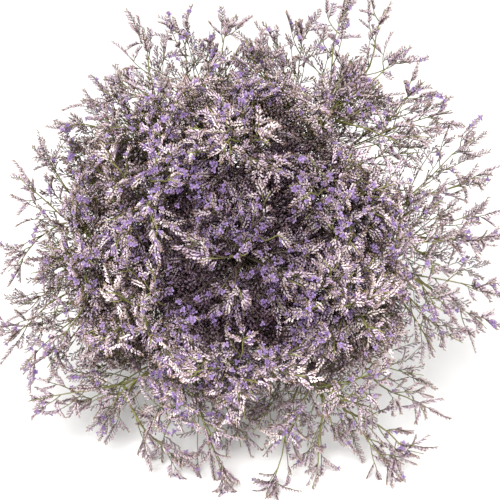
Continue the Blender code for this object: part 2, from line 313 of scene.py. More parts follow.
# %% The main branches
FIRST_BRANCH = 0.125
NODE_SPACING = 0.008
FORK_AT = 0.45


def branches_of(stem, taken):
    """A stem's foot and top height, and the arches of its branches, in the solid model's order."""
    chance = random.Random(SEED + stem)
    ring = SITES[stem][0]
    shorter = chance.uniform(0, FOOT_UNEVEN)
    foot = -FOOT_LENGTH + (0 if stem in LOWEST_STEMS else shorter)
    top = STALK_TOPS[ring]
    stalk = [stalk_point(stem, height) for height in (foot, foot / 2) + STALK_LEVELS]
    stalk += [stalk_point(stem, PARTED_BY + (top - PARTED_BY) * t) for t in (0.5, 1.0)]
    along = (stalk[-1] - stalk[-2]).normalized()
    sprigs = sprig_tips(stem, chance)
    taken.extend(sprigs)
    tips = []
    for entry in FILLING[ring]:
        tips += filling_tips(stem, stalk, entry, taken, chance)
    pairs = in_pairs(sprigs) + in_pairs(tips)
    groups = [(leaving_height(stem, group, along), group) for group in pairs]
    groups.sort(key=lambda item: -item[0])
    highest = top - NODE_SPACING / 2
    arches = []
    for level, group in groups:
        highest = min(max(level, FIRST_BRANCH), highest)
        first = bow(stalk_point(stem, highest), along, group[0])
        highest -= NODE_SPACING
        arches.append(first)
        if len(group) > 1:
            fork = Vector(on_bow(first, FORK_AT))
            arches.append(bow(fork, (Vector(first[2]) - Vector(first[0])).normalized(), group[1]))
    return foot, top, arches


taken = []
STEMS = {}
for stem in sorted(range(len(SITES)), key=lambda stem: -SITES[stem][0]):
    STEMS[stem] = branches_of(stem, taken)
print("branches", sum(len(arches) for _, _, arches in STEMS.values()))

# %% [markdown]
# One copy, many places. The plant repeats four small things thousands of times: a round rod, a calyx, a bud
# and a ring of petals. Each is modelled once with mesh operators, with few faces, and its copies are placed
# by arithmetic on all their points at once. Single objects or instances would look the same but load slowly.

# %% Small helpers for templates
MM = 0.001


def template(shape):
    """A finished template: its points and its triangles, facing outwards."""
    bmesh.ops.recalc_face_normals(shape, faces=shape.faces)
    bmesh.ops.triangulate(shape, faces=shape.faces)
    shape.verts.index_update()
    points = np.array([corner.co for corner in shape.verts])
    faces = np.array([[corner.index for corner in face.verts] for face in shape.faces])
    shape.free()
    return points, faces


def units(vectors):
    """The same vectors, each one metre long."""
    return vectors / np.maximum(np.linalg.norm(vectors, axis=-1, keepdims=True), 1e-12)


def across(ahead, hint):
    """Two directions square to each forward direction and to each other, the second one near the hint."""
    side = units(np.cross(hint, ahead))
    return side, np.cross(ahead, side)


# %% [markdown]
# A rod stands for each piece of stem, from the stalk to the thin axis of a spike. On the plant they are
# round, smooth and taper slowly. The template is a ring that is extruded along +Z and closed at both ends.
# Each copy is then laid along its own line, ring by ring, at its own thickness.

# %% The rods
def rod_template(sides, rings):
    """A rod of radius 1 with its rings at the heights 0, 1, 2 and so on."""
    shape = bmesh.new()
    bmesh.ops.create_circle(shape, segments=sides, radius=1.0, cap_ends=True)
    shape.faces.ensure_lookup_table()
    end = shape.faces[0]
    for k in range(1, rings):
        grown = bmesh.ops.extrude_face_region(shape, geom=[end])
        if k > 1:
            bmesh.ops.delete(shape, geom=[end], context="FACES_ONLY")
        end = next(item for item in grown["geom"] if isinstance(item, bmesh.types.BMFace))
        bmesh.ops.translate(shape, vec=(0, 0, 1), verts=end.verts)
    return template(shape)


STALK_RINGS = (5, 6, 9)
BRANCH_RINGS = 9
FINE_RINGS = 4
# A stalk's three stretches share the rings where they meet, and one ring more makes its cut end.
RODS = {
    "stalk": rod_template(8, sum(STALK_RINGS) - 1),
    "branch": rod_template(6, BRANCH_RINGS),
    "branchlet": rod_template(4, FINE_RINGS),
    "spike": rod_template(3, FINE_RINGS),
    "deep spike": rod_template(3, 2),
}


def lay_rods(kind, lines, radii, tones):
    """Copies of a rod along their lines: points, triangles, and each point's tone and share of the way."""
    points, faces = RODS[kind]
    ahead = units(np.gradient(lines, axis=1))
    whole = units(lines[:, -1] - lines[:, 0])
    hint = np.where(np.abs(whole[:, 2:3]) < 0.8, (0.0, 0.0, 1.0), (1.0, 0.0, 0.0))
    side, back = across(ahead, hint[:, None, :])
    ring = np.rint(points[:, 2]).astype(int)
    where = lines[:, ring] + radii[:, ring, None] * (
        points[None, :, 0, None] * side[:, ring] + points[None, :, 1, None] * back[:, ring]
    )
    count = len(points)
    corners = faces[None] + np.arange(len(lines))[:, None, None] * count
    share = np.tile(ring / (lines.shape[1] - 1), len(lines))
    return where.reshape(-1, 3), corners.reshape(-1, 3), np.repeat(tones, count), share


print("triangles in a rod", {kind: len(faces) for kind, (_, faces) in RODS.items()})

# %% [markdown]
# The calyx is what stays on a dried statice: a papery funnel about 4 mm long, brown to mauve at its foot,
# with a pale flared rim in five lobes. It is a five-sided cone in two steps, a narrow tube and a flared mouth
# that is left open, so that the inside is dark as in the real ones. Deep in the head a plain cone does. The
# flowers near a spike's tip are closed buds.

# %% The calyx and the bud
CALYX_LENGTH = 4.3 * MM
CALYX_RIM = 0.76 * MM
BUD_WIDTH = 0.95
CALYX_TUBE = 0.72
TUBE_AT = 0.42
BUD_WIDEST_AT = 0.6
LOBES = 5


def disc(corners, radius=1.0):
    """A flat disc of triangles round a middle point, and its rim points: the start of each flower."""
    shape = bmesh.new()
    bmesh.ops.create_circle(shape, segments=corners, radius=radius, cap_ends=True, cap_tris=True)
    return shape, [corner for corner in shape.verts if corner.co.length > radius / 2]


def extruded_rim(shape):
    """The new points that extruding a shape's open edge makes."""
    edges = [edge for edge in shape.edges if edge.is_boundary]
    grown = bmesh.ops.extrude_edge_only(shape, edges=edges)["geom"]
    return [item for item in grown if isinstance(item, bmesh.types.BMVert)]


def calyx_template():
    """An open funnel of length 1 and rim radius 1: a pointed foot, a tube and a flared rim."""
    shape, ring = disc(LOBES, CALYX_TUBE)
    bmesh.ops.translate(shape, vec=(0, 0, TUBE_AT), verts=ring)
    rim = extruded_rim(shape)
    bmesh.ops.scale(shape, vec=(1 / CALYX_TUBE, 1 / CALYX_TUBE, 1), verts=rim)
    bmesh.ops.translate(shape, vec=(0, 0, 1 - TUBE_AT), verts=rim)
    return template(shape)


def cone_template():
    """A plain open cone of length 1 and rim radius 1, for flowers deep in the head."""
    shape, rim = disc(LOBES)
    bmesh.ops.translate(shape, vec=(0, 0, 1), verts=rim)
    return template(shape)


def bud_template():
    """A closed bud of length 1 and radius 1 at its widest, in four faces above and four below."""
    shape, ring = disc(4)
    bmesh.ops.translate(shape, vec=(0, 0, BUD_WIDEST_AT), verts=ring)
    tip = extruded_rim(shape)
    bmesh.ops.pointmerge(shape, verts=tip, merge_co=(0, 0, 1))
    return template(shape)


# %% [markdown]
# The petals. An open flower holds five small notched petals in its mouth, thin as tissue. A star of ten
# triangles round a low middle looks right at this size. All four templates are then ready to be laid on their
# feet: each copy turns to its own direction and takes its own length and radius.

# %% The petals, and the copies of a flower
PETAL_NOTCH = 0.50
PETAL_LIFT = 0.30


def petal_template():
    """Five petals of reach 1 as a star of ten triangles round a low middle."""
    shape, ring = disc(2 * LOBES)
    for corner in ring:
        turn = round(math.degrees(math.atan2(corner.co.y, corner.co.x)) / (180 / LOBES))
        if turn % 2:
            corner.co *= PETAL_NOTCH
    bmesh.ops.translate(shape, vec=(0, 0, PETAL_LIFT), verts=ring)
    return template(shape)


FLOWERS = {
    "calyx": calyx_template(),
    "cone": cone_template(),
    "bud": bud_template(),
    "petals": petal_template(),
}


def place_flowers(kind, feet, ahead, hints, lengths, radii):
    """Copies of a template on their feet, pointing ahead, at their own length and radius."""
    points, faces = FLOWERS[kind]
    side, back = across(ahead, hints)
    x, y, z = points.T[:, None, :, None]
    where = feet[:, None] + radii[:, None, None] * (x * side[:, None] + y * back[:, None])
    where = where + lengths[:, None, None] * z * ahead[:, None]
    corners = faces[None] + np.arange(len(feet))[:, None, None] * len(points)
    return where.reshape(-1, 3), corners.reshape(-1, 3)


print("triangles in a flower", {kind: len(faces) for kind, (_, faces) in FLOWERS.items()})

# %% [markdown]
# The uneven surface of the head. From above it isn't an even dome: it has bumps of a few centimetres, and
# near its middle some dark hollows where one looks in among the stems. The hollows are listed one by one,
# each as a place, a width and a depth. The close body of the head reaches further to some sides than to
# others, so its reach is given for every 20 degrees.

# %% Bumps and hollows
BODY_REACH = (142, 132, 124, 150, 154, 152, 158, 162, 156, 154, 160, 130, 132, 124, 92, 138, 150, 142)
REACH_STEP = 20.0
BUMP_DEPTH = 0.013
HOLLOWS = (
    (-0.060, -0.018, 0.023, 0.018),
    (-0.020, -0.014, 0.024, 0.038),
    (0.024, 0.028, 0.021, 0.034),
    (0.026, -0.066, 0.018, 0.024),
    (-0.020, -0.066, 0.018, 0.014),
)


def reach_at(reaches, turn):
    """The reach of the head in a direction in radians, in metres, from a value for every 20 degrees."""
    middle = np.degrees(turn) / REACH_STEP - 0.5
    return np.interp(middle % len(reaches), np.arange(len(reaches) + 1), (*reaches, reaches[0])) * MM


def slow_wave(points):
    """A smooth wave through space, from -1 to 1, a few centimetres from crest to crest."""
    x, y, z = points.T
    first = np.sin(x * 61 + 1.3) * np.cos(y * 53 - 0.7)
    second = np.sin(z * 47 + x * 29 + 2.1) * np.cos(y * 31 + 0.4)
    return (first + second) / 2


def surface_height(points):
    """The height of the head's uneven surface over points: the dome with its bumps and its hollows."""
    reach = reach_of(points)
    flat = np.concatenate([points[..., :2], np.zeros((*points.shape[:-1], 1))], axis=-1)
    height = dome_height(reach) - BUMP_DEPTH * (1 + slow_wave(flat))
    for x, y, wide, deep in HOLLOWS:
        away = (points[..., 0] - x) ** 2 + (points[..., 1] - y) ** 2
        height = height - deep * np.exp(-away / wide**2)
    return height


print("surface at the axis", round(float(surface_height(np.zeros(3))) * 1000), "mm over the tie")

# %% [markdown]
# The two habits of a branch. Over its outer part a branch sends out branchlets to alternate sides, shorter
# ones towards its tip, so that their ends come level, as in a flat spray. A branchlet ends in a spike and has
# others beside it. In the body of the head the sprays are close. At its rim they are open, with longer
# branchlets and longer spikes that stand further apart. The numbers of each habit were judged.

# %% Close and open sprays
CLOSE = {
    "step": 8.5 * MM,
    "first": 13.0 * MM,
    "least": 6.0 * MM,
    "growth": 0.40,
    "most": 30.0 * MM,
    "angle": 50.0,
    "spikes": (9.0 * MM, 21.0 * MM),
    "beside": (0.80, 0.50, 0.22),
    "last": 15.0 * MM,
}
OPEN = {
    "step": 10.5 * MM,
    "first": 17.0 * MM,
    "least": 7.0 * MM,
    "growth": 0.44,
    "most": 42.0 * MM,
    "angle": 52.0,
    "spikes": (13.0 * MM, 27.0 * MM),
    "beside": (0.78, 0.42),
    "last": 24.0 * MM,
}
print("a branchlet every", [round(habit["step"] / MM, 1) for habit in (CLOSE, OPEN)], "mm")

# %% [markdown]
# Where the spikes stand. They leave a branchlet on alternate sides at a little under 50 degrees, and a branch
# ends in a spike of its own with a pair before it. Real ones are never quite regular, so angles and lengths
# vary. A spike is only a foot, a direction and a length so far.

# %% Spikes on a branchlet and at a branch's tip
STEP_AHEAD = 0.02
SPIKE_ANGLE = 46.0
SPIKE_SPREAD = (-14.0, 20.0)
BESIDE_ROLL = 50.0
BESIDE_SIZE = 0.9
NO_SPIKE_UNDER = 3.0 * MM
LAST_PAST = 2.0 * MM
LAST_FROM = 0.96
LAST_PAIR = 4 * MM
LAST_PAIR_SIZE = (0.60, 0.85)


def turned(ahead, roll, angle, hint):
    """A direction that leaves ahead by an angle, on the side that the roll gives, both in degrees."""
    side, back = across(ahead, hint)
    roll = math.radians(roll)
    angle = math.radians(angle)
    return ahead * math.cos(angle) + (side * math.cos(roll) + back * math.sin(roll)) * math.sin(angle)


def spikes_beside(small, length, habit, hint, dice):
    """The spikes along a branchlet, on alternate sides."""
    spikes = []
    first_roll = dice.uniform(0, 360)
    for k, share in enumerate(habit["beside"]):
        if share * length < NO_SPIKE_UNDER:
            continue
        spot = on_bow(small, share)
        here = units(on_bow(small, share + STEP_AHEAD) - spot)
        angle = SPIKE_ANGLE + dice.uniform(*SPIKE_SPREAD)
        out = turned(here, first_roll + 180 * k + dice.uniform(-BESIDE_ROLL, BESIDE_ROLL), angle, hint)
        spikes.append((spot, out, dice.uniform(*habit["spikes"]) * BESIDE_SIZE))
    return spikes


def spikes_at_tip(arch, habit, roll, hint, dice):
    """The spike that ends a branch, and the pair before it."""
    chord = np.linalg.norm(arch[2] - arch[0])
    ahead = units(arch[2] - on_bow(arch, LAST_FROM))
    spikes = [(on_bow(arch, 1 - (habit["last"] - LAST_PAST) / chord), ahead, habit["last"])]
    for side in (1, -1):
        foot = on_bow(arch, 1 - (habit["first"] + LAST_PAIR * side) / chord)
        out = turned(ahead, roll + 90 * side, SPIKE_ANGLE, hint)
        spikes.append((foot, out, dice.uniform(*LAST_PAIR_SIZE) * habit["last"]))
    return spikes


# %% [markdown]
# How a branch is dressed. A branchlet leaves its branch at about 50 degrees and curves forward. Waves in the
# branch itself keep it from looking like wire. In the middle of the head a branchlet that would stand over
# the surface is mostly left off, as it would hide the hollows.

# %% Branchlets on a branch
STEP_SPREAD = 0.3
ROLL_SPREAD = 55.0
ANGLE_SPREAD = 13.0
LENGTH_SPREAD = (0.70, 1.25)
CURVE_OUT = 0.74
CURVE_AHEAD = 0.26
BARE_SHARE = 0.28
MOST_BRANCHLETS = 9
TIP_TURN = 14.0
WAVES = (1.8 * MM, 0.8 * MM)
HOLLOW_REACH = 0.13
OVER_SHARE = 0.25


def waved(arch, dice):
    """An arch with the slight waves of a grown branch."""
    ahead = units(arch[2] - arch[0])
    rows = [np.cross(ahead, dice.normal(size=3)) * size for size in WAVES]
    return np.concatenate([arch, rows])


def stands_over(point):
    """Whether a point near the middle stands over the head's surface."""
    return reach_of(point) < HOLLOW_REACH and point[2] > surface_height(point)


def grow_branch(arch, dice, habit, fullness=1.0):
    """The branchlets of one branch as arches, and the spikes on them as foot, direction and length."""
    chord = np.linalg.norm(arch[2] - arch[0])
    hint = units(dice.normal(size=3))
    start_roll = dice.uniform(0, 360)
    branchlets = []
    spikes = []
    for k in range(MOST_BRANCHLETS):
        back = habit["first"] + habit["step"] * (k + dice.uniform(-STEP_SPREAD, STEP_SPREAD))
        share = 1 - back / chord
        if share < BARE_SHARE:
            break
        if dice.uniform() > fullness:
            continue
        foot = on_bow(arch, share)
        ahead = units(on_bow(arch, share + STEP_AHEAD) - foot)
        roll = start_roll + 180 * k + dice.uniform(-ROLL_SPREAD, ROLL_SPREAD)
        way = turned(ahead, roll, habit["angle"] + dice.uniform(-ANGLE_SPREAD, ANGLE_SPREAD), hint)
        length = min(habit["least"] + habit["growth"] * back, habit["most"]) * dice.uniform(*LENGTH_SPREAD)
        end = foot + way * length * CURVE_OUT + ahead * length * CURVE_AHEAD
        small = np.array((foot, foot + way * length * 0.5, end))
        if stands_over(end) and dice.uniform() > OVER_SHARE:
            continue
        branchlets.append(small)
        tip_way = turned(units(small[2] - small[1]), dice.uniform(0, 360), dice.uniform(0, TIP_TURN), hint)
        spikes.append((end, tip_way, dice.uniform(*habit["spikes"])))
        spikes += spikes_beside(small, length, habit, hint, dice)
    return branchlets, spikes + spikes_at_tip(arch, habit, start_roll, hint, dice)


# %% [markdown]
# The main branches, each along its solid one. A branch whose tip is past the close body of the head gets the
# open habit, fuller the further out it reaches, as the longest sprigs are the strongest ones.

# %% Dressing the main branches
BODY_RIM = 0.015
OPEN_FULLNESS = ((0.10, 0.21, 0.25), (0.35, 0.72, 1.00))
FULLNESS_SPREAD = (0.85, 1.15)

GROWN = {}
for stem, (_, _, arches) in STEMS.items():
    dice = np.random.default_rng(SEED * 100 + stem)
    arches = [waved(arch, dice) for arch in arches]
    grown = {"branches": arches, "main": len(arches), "branchlets": [], "spikes": []}
    for arch in arches:
        reach = reach_of(arch[2])
        far_out = reach > reach_at(BODY_REACH, math.atan2(arch[2, 1], arch[2, 0])) + BODY_RIM
        fullness = np.interp(reach, *OPEN_FULLNESS) * dice.uniform(*FULLNESS_SPREAD) if far_out else 1.0
        more = grow_branch(arch, dice, OPEN if far_out else CLOSE, fullness)
        grown["branchlets"] += more[0]
        grown["spikes"] += more[1]
    GROWN[stem] = grown
print("spikes on the main branches", sum(len(grown["spikes"]) for grown in GROWN.values()))

# %% [markdown]
# The branches between. The real head is so dense that no ground shows through its middle. The solid model has
# only the main branches, so finer ones are added: in the body under the surface, in two deeper layers, and a
# few in the loose rim, whose reach is given round the axis like the body's. Each goes where the fewest spikes
# stand so far, seen along the stems, and starts from the nearest stalk. Chance alone would leave holes.

# %% Filling branches
FILLING_KINDS = ["body"] * 300 + ["under"] * 90 + ["core"] * 50 + ["edge"] * 42
DEPTHS = {"body": (0.000, 0.070), "under": (0.060, 0.130), "core": (0.100, 0.200)}
CORE_REACH = (70,) * len(BODY_REACH)
EDGE_REACH = (192, 194, 202, 212, 196, 200, 198, 194, 178, 200, 208, 150, 150, 180, 92, 200, 156, 188)
EDGE_HEIGHT = (0.245, 0.325)
EDGE_FULLNESS = 0.75
FILL_CHOICES = 60
COUNT_RADIUS = 0.012
GOLDEN_SHARE = 0.618034


def roomiest(least, most, crowd, chance):
    """Of some chance spots between two reaches, the one with the fewest spikes round it."""
    turn = chance.uniform(0, math.tau, FILL_CHOICES)
    inner = reach_at(least, turn) if least else 0.0
    outer = reach_at(most, turn)
    reach = np.sqrt(inner**2 + (outer**2 - inner**2) * chance.uniform(0, 1, FILL_CHOICES))
    spots = np.stack([reach * np.cos(turn), reach * np.sin(turn)], axis=1)
    away = np.linalg.norm(spots[:, None] - crowd[None], axis=2)
    return spots[np.argmin((away < COUNT_RADIUS).sum(axis=1))]


chance = np.random.default_rng(SEED * 7)
crowd = np.array([spike[0][:2] for grown in GROWN.values() for spike in grown["spikes"]])
for k, kind in enumerate(FILLING_KINDS):
    at_edge = kind == "edge"
    if at_edge:
        best = roomiest(BODY_REACH, EDGE_REACH, crowd, chance)
        height = chance.uniform(*EDGE_HEIGHT)
    else:
        best = roomiest(None, CORE_REACH if kind == "core" else BODY_REACH, crowd, chance)
        low, high = DEPTHS[kind]
        depth = low + (high - low) * ((k * GOLDEN_SHARE) % 1.0)
        height = float(surface_height(np.array((*best, 0.0)))) - depth
    tip = Vector((*best, height))
    if height_off_floor(tip) < REST_HEIGHT:
        continue
    stem = min(STEMS, key=lambda stem: (stalk_point(stem, tip.z) - tip).length)
    top = STEMS[stem][1]
    along = (stalk_point(stem, top) - stalk_point(stem, PARTED_BY)).normalized()
    level = min(max(leaving_height(stem, (tip,), along), FIRST_BRANCH), top - NODE_SPACING)
    arch = waved(bow(stalk_point(stem, level), along, tip), chance)
    more = grow_branch(arch, chance, OPEN if at_edge else CLOSE, EDGE_FULLNESS if at_edge else 1.0)
    GROWN[stem]["branches"].append(arch)
    GROWN[stem]["branchlets"] += more[0]
    GROWN[stem]["spikes"] += more[1]
    crowd = np.concatenate([crowd, [spike[0][:2] for spike in more[1]]])
print("branches", sum(len(grown["branches"]) for grown in GROWN.values()), "spikes", len(crowd))

# %% [markdown]
# The spikes' own shape. In the body of the head they lie flat along its surface, so that their rows of
# flowers face the light, and at the rim they point freely and bend either way. Each is a line of four points,
# which is enough for its bow.

# %% The spikes' lines
OPEN_FROM = 0.170
BEND_FROM = 0.02
OUTWARD = (2.0, 0.35)
SPREAD_FLAT = 0.75
FLAT_REACH = (0.12, 0.20)
FACE_SPREAD = 0.30
DROOP = (0.02, 0.26)
OPEN_DROOP = (-0.22, 0.42)
SIDE_SPREAD = 0.13


def spike_lines(spikes, dice):
    """The bowed middle lines of spikes, in four points, and the directions their flowers face."""
    feet, ways, lengths = (np.array(each) for each in zip(*spikes))
    reach = reach_of(feet)
    rise = np.full((len(feet), 1), OUTWARD[1])
    outward = units(np.concatenate([feet[:, :2] * OUTWARD[0], rise], axis=1))
    flat = SPREAD_FLAT * np.interp(reach, FLAT_REACH, (1.0, 0.0))
    ways = units(ways - outward * (ways * outward).sum(axis=1, keepdims=True) * flat[:, None])
    outward = outward + dice.normal(scale=FACE_SPREAD, size=feet.shape)
    side, up = across(ways, outward)
    t = np.linspace(0, 1, FINE_RINGS)[None, :, None]
    free = dice.uniform(*OPEN_DROOP, len(feet))
    resting = dice.uniform(*DROOP, len(feet))
    droop = np.where(reach > OPEN_FROM - BEND_FROM, free, resting)[:, None] * -up
    droop = droop + dice.normal(scale=SIDE_SPREAD, size=(len(feet), 1)) * side
    lines = feet[:, None] + ways[:, None] * lengths[:, None, None] * t
    lines = lines + droop[:, None] * lengths[:, None, None] * t**2
    return lines, up, lengths


# %% [markdown]
# The flowers on a spike stand in two ranks along its upper side, each leaning forward, like the teeth of a
# comb. They grow smaller towards the tip and end in closed buds. Towards the rim more and more spikes are
# young ones in bud, and the older ones have larger flowers that stand apart. Deep in the head, where little
# is seen, fewer and larger flowers fill the same room.

# %% The flowers along the spikes
PITCH = 1.15 * MM
PITCH_SPREAD = 0.012
OPEN_PITCH = 1.30 * MM
OPEN_SIZE = 1.25
OPEN_AGE = (0.10, 0.60)
OPEN_TURN = 55.0
DEEP = 0.041
DEEP_PITCH = 2.0 * MM
DEEP_SIZE = 1.30
YOUNG_REACH = (0.13, 0.21)
YOUNG_SHARE = (0.05, 0.50)
YOUNG_LEAN = 30.0
YOUNG_SIZE = 1.22
YOUNG_AGE = 0.45
BARE_FOOT = 1.5 * MM
LEAN = 40.0
LEAN_SPREAD = 7
RANK_TURN = 32.0
RANK_SPREAD = 9
SIZE_AT_FOOT = 1.05
SIZE_LOSS = 0.40
SIZE_SPREAD = (0.85, 1.15)
TIP_BUDS = 5.0


def depth_of(points):
    """How deep points lie under an even dome without bumps or hollows, in metres."""
    return dome_height(reach_of(points)) - BUMP_DEPTH - points[..., 2]


def flowers_on(lines, ups, lengths, dice):
    """Each flower's foot, direction, hint, size, age (0 open to 1 bud) and spike, and the kinds of spikes."""
    rows = []
    deep = depth_of(lines[:, 1]) > DEEP
    reach = reach_of(lines[:, 1])
    young = (dice.uniform(0, 1, len(lines)) < np.interp(reach, YOUNG_REACH, YOUNG_SHARE)) & ~deep
    is_open = reach > OPEN_FROM
    least_age = np.where(is_open, dice.uniform(*OPEN_AGE, len(lines)), 0.0)
    least_age[young] = YOUNG_AGE
    for k in range(len(lines)):
        pitch = DEEP_PITCH if deep[k] else OPEN_PITCH if is_open[k] else PITCH
        count = int((lengths[k] - BARE_FOOT) / pitch)
        t = (BARE_FOOT + pitch * np.arange(count)) / lengths[k]
        t = np.clip(t + dice.normal(scale=PITCH_SPREAD, size=count), 0, 1)
        at = np.array([np.interp(t, (0, 1 / 3, 2 / 3, 1), lines[k, :, axis]) for axis in range(3)]).T
        first = lines[k, 1] - lines[k, 0]
        last = lines[k, 3] - lines[k, 2]
        ahead = units(first * (1 - t[:, None]) + last * t[:, None])
        side = np.cross(ahead, ups[k])
        turn = (OPEN_TURN if is_open[k] else RANK_TURN) + dice.normal(scale=RANK_SPREAD, size=count)
        rank = np.where(np.arange(count) % 2, 1.0, -1.0) * np.radians(turn)
        out = ups[k] * np.cos(rank)[:, None] + side * np.sin(rank)[:, None]
        lean = (YOUNG_LEAN if young[k] else LEAN) + dice.normal(scale=LEAN_SPREAD, size=count)
        lean = np.radians(lean)[:, None]
        way = units(ahead * np.cos(lean) + out * np.sin(lean))
        size = (SIZE_AT_FOOT - SIZE_LOSS * t**2) * dice.uniform(*SIZE_SPREAD, size=count)
        kind_size = DEEP_SIZE if deep[k] else YOUNG_SIZE if young[k] else OPEN_SIZE if is_open[k] else 1.0
        left = count - 1 - np.arange(count)
        age = np.clip(1 - left / TIP_BUDS, least_age[k], 1)
        hint = np.repeat(ups[k][None], count, axis=0)
        rows.append((at, way, hint, size * kind_size, age, np.full(count, k)))
    return [np.concatenate(each) for each in zip(*rows)] + [deep, young]


counts = [int((15 * MM - BARE_FOOT) / pitch) for pitch in (PITCH, OPEN_PITCH, DEEP_PITCH)]
print("flowers on a spike of 15 mm in the body, at the rim and deep inside", counts)

# %% [markdown]
# The dark inside, as painted shade. Light that falls into the real head is caught between thousands of papery
# flowers. This model has fewer layers, which let more light through, so the missing shade is painted into the
# colours: each point gets a painted shade from 0 to 1, more the deeper it lies under the dome and a little
# extra in the middle. Towards the rim the colours are darkened a little too, and below the head not at all.

# %% Painted shade by depth
SHADE_DEPTH = (0.000, 0.046)
SHADE_REACH = (0.090, 0.165)
CENTRE_SHADE = 0.46
CENTRE_WIDE = 0.075
RIM_REACH = (0.130, 0.180)
RIM_DARKENING = (0.0, 0.36)
HEAD_LEVELS = (0.080, 0.230)


def shade_of(points):
    """How much painted shade, and darkening at the rim, the points of the upright bunch get, from 0 to 1."""
    # painted shade: darker the deeper a point lies under the smooth dome
    shade = np.clip((depth_of(points) - SHADE_DEPTH[0]) / (SHADE_DEPTH[1] - SHADE_DEPTH[0]), 0, 1)
    reach = reach_of(points)
    shade = shade * np.interp(reach, SHADE_REACH, (1.0, 0.0))
    # painted shade, stronger towards the middle of the head
    shade = shade + CENTRE_SHADE * np.exp(-((reach / CENTRE_WIDE) ** 2))
    # darker towards the rim
    shade = shade + np.interp(reach, RIM_REACH, RIM_DARKENING)
    return np.clip(shade, 0, 1) * np.interp(points[:, 2], HEAD_LEVELS, (0.0, 1.0))


samples = np.array([(0.0, 0.0, HEAD_TOP - deep) for deep in (0.01, 0.03, 0.06)])
print("shade 10, 30 and 60 mm under the top", shade_of(samples).round(2))

# %% [markdown]
# Bringing a stem together. The parts of each finish are gathered into one mesh: the green stems, the papery
# calyces and the petals. Each point keeps a tone, different from flower to flower, its share of the way from
# foot to rim, an age and a shade, which the materials turn into colour. On the stalks the age marks the pale
# cut end instead. The lowest flowers are pressed flat by the surface, and here they are too.

# %% Gathering the pieces
PRESSED_BELOW = 4.0 * MM


def laid_down(points):
    """Points of the upright bunch where they lie, with those near the surface pressed towards it."""
    turn = np.array(LYING.to_3x3())
    lying = points @ turn.T + np.array(LYING.translation)
    low = lying[:, 2] < PRESSED_BELOW
    lying[low, 2] = PRESSED_BELOW * np.exp(lying[low, 2] / PRESSED_BELOW - 1)
    return lying


class Gathered:
    """The points and triangles of one piece, with the values that each point keeps."""

    def __init__(self):
        self.rows = []
        self.count = 0

    def add(self, points, faces, tones, shares, ages=None):
        """Adds some copies, with an age of 0 where none is given."""
        ages = np.zeros(len(points)) if ages is None else ages
        self.rows.append((points, faces + self.count, tones, shares, ages))
        self.count += len(points)

    def make(self, name, node, slot, material):
        """The piece as an object that rides with the bunch and stands for its solid."""
        mesh = bpy.data.meshes.new(name)
        points, faces, tones, shares, ages = (np.concatenate(each) for each in zip(*self.rows))
        mesh.from_pydata(laid_down(points).tolist(), [], faces.tolist())
        values = {"tone": tones, "share": shares, "age": ages, "shade": shade_of(points)}
        for key, value in values.items():
            mesh.attributes.new(key, "FLOAT", "POINT").data.foreach_set("value", value)
        mesh.shade_smooth()
        mesh.materials.append(material)
        piece = bpy.data.objects.new(name, mesh)
        bpy.context.scene.collection.objects.link(piece)
        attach(piece, "root")
        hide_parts(node)
        return len(faces)


# %% [markdown]
# Colours. They are written as the hex values a paint program shows and turned to the linear values a shader
# needs. One helper adds any node with its settings and links, so that each material reads from top to bottom.

# %% Helpers for materials
def linear(code):
    """An sRGB hex colour as the linear colour that shaders use."""
    parts = [int(code[k : k + 2], 16) / 255 for k in (1, 3, 5)]
    return (*[c / 12.92 if c <= 0.04045 else ((c + 0.055) / 1.055) ** 2.4 for c in parts], 1.0)


def add_node(tree, kind, values=(), links=(), **settings):
    """Adds one node with its settings, socket values and links."""
    made = tree.nodes.new("ShaderNode" + kind)
    for name, value in settings.items():
        setattr(made, name, value)
    for socket, value in dict(values).items():
        made.inputs[socket].default_value = value
    for socket, source in dict(links).items():
        tree.links.new(source, made.inputs[socket])
    return made


def value_of(tree, name):
    """The value that each point keeps under a name, such as its tone."""
    return add_node(tree, "Attribute", attribute_name=name).outputs["Fac"]


def mixed(tree, share, first, second):
    """A colour that goes from the first to the second as the share rises. Each is a hex code or a socket."""
    made = add_node(tree, "Mix", {}, {0: share}, data_type="RGBA")
    for socket, colour in ((6, first), (7, second)):
        if isinstance(colour, str):
            made.inputs[socket].default_value = linear(colour)
        else:
            tree.links.new(colour, made.inputs[socket])
    return made.outputs[2]


def noise(tree, scale, detail):
    """A noise through the object's own space."""
    place = add_node(tree, "TexCoord")
    made = add_node(tree, "TexNoise", {"Scale": scale, "Detail": detail}, {"Vector": place.outputs["Object"]})
    return made.outputs["Fac"]


def cover(tree, shader, colour, scale, strength):
    """Gives a surface its colour and fine bumps from a noise."""
    tree.links.new(colour, shader.inputs["Base Color"])
    heights = noise(tree, scale, 2.0)
    bump = add_node(tree, "Bump", {"Strength": strength, "Distance": 0.0002}, {"Height": heights})
    tree.links.new(bump.outputs["Normal"], shader.inputs["Normal"])


def shaded(tree, most, colour, dark):
    """A colour that turns to a dark one with each point's painted shade."""
    inside = add_node(tree, "MapRange", {"To Max": most}, {"Value": value_of(tree, "shade")})
    return mixed(tree, inside.outputs["Result"], colour, dark)


def new_material(name, **values):
    """A material with its shader's own values, and its tree and shader for more."""
    material = bpy.data.materials.new(name)
    material.use_nodes = True
    shader = material.node_tree.nodes["Principled BSDF"]
    for key, value in values.items():
        shader.inputs[key.replace("_", " ")].default_value = value
    return material, material.node_tree, shader
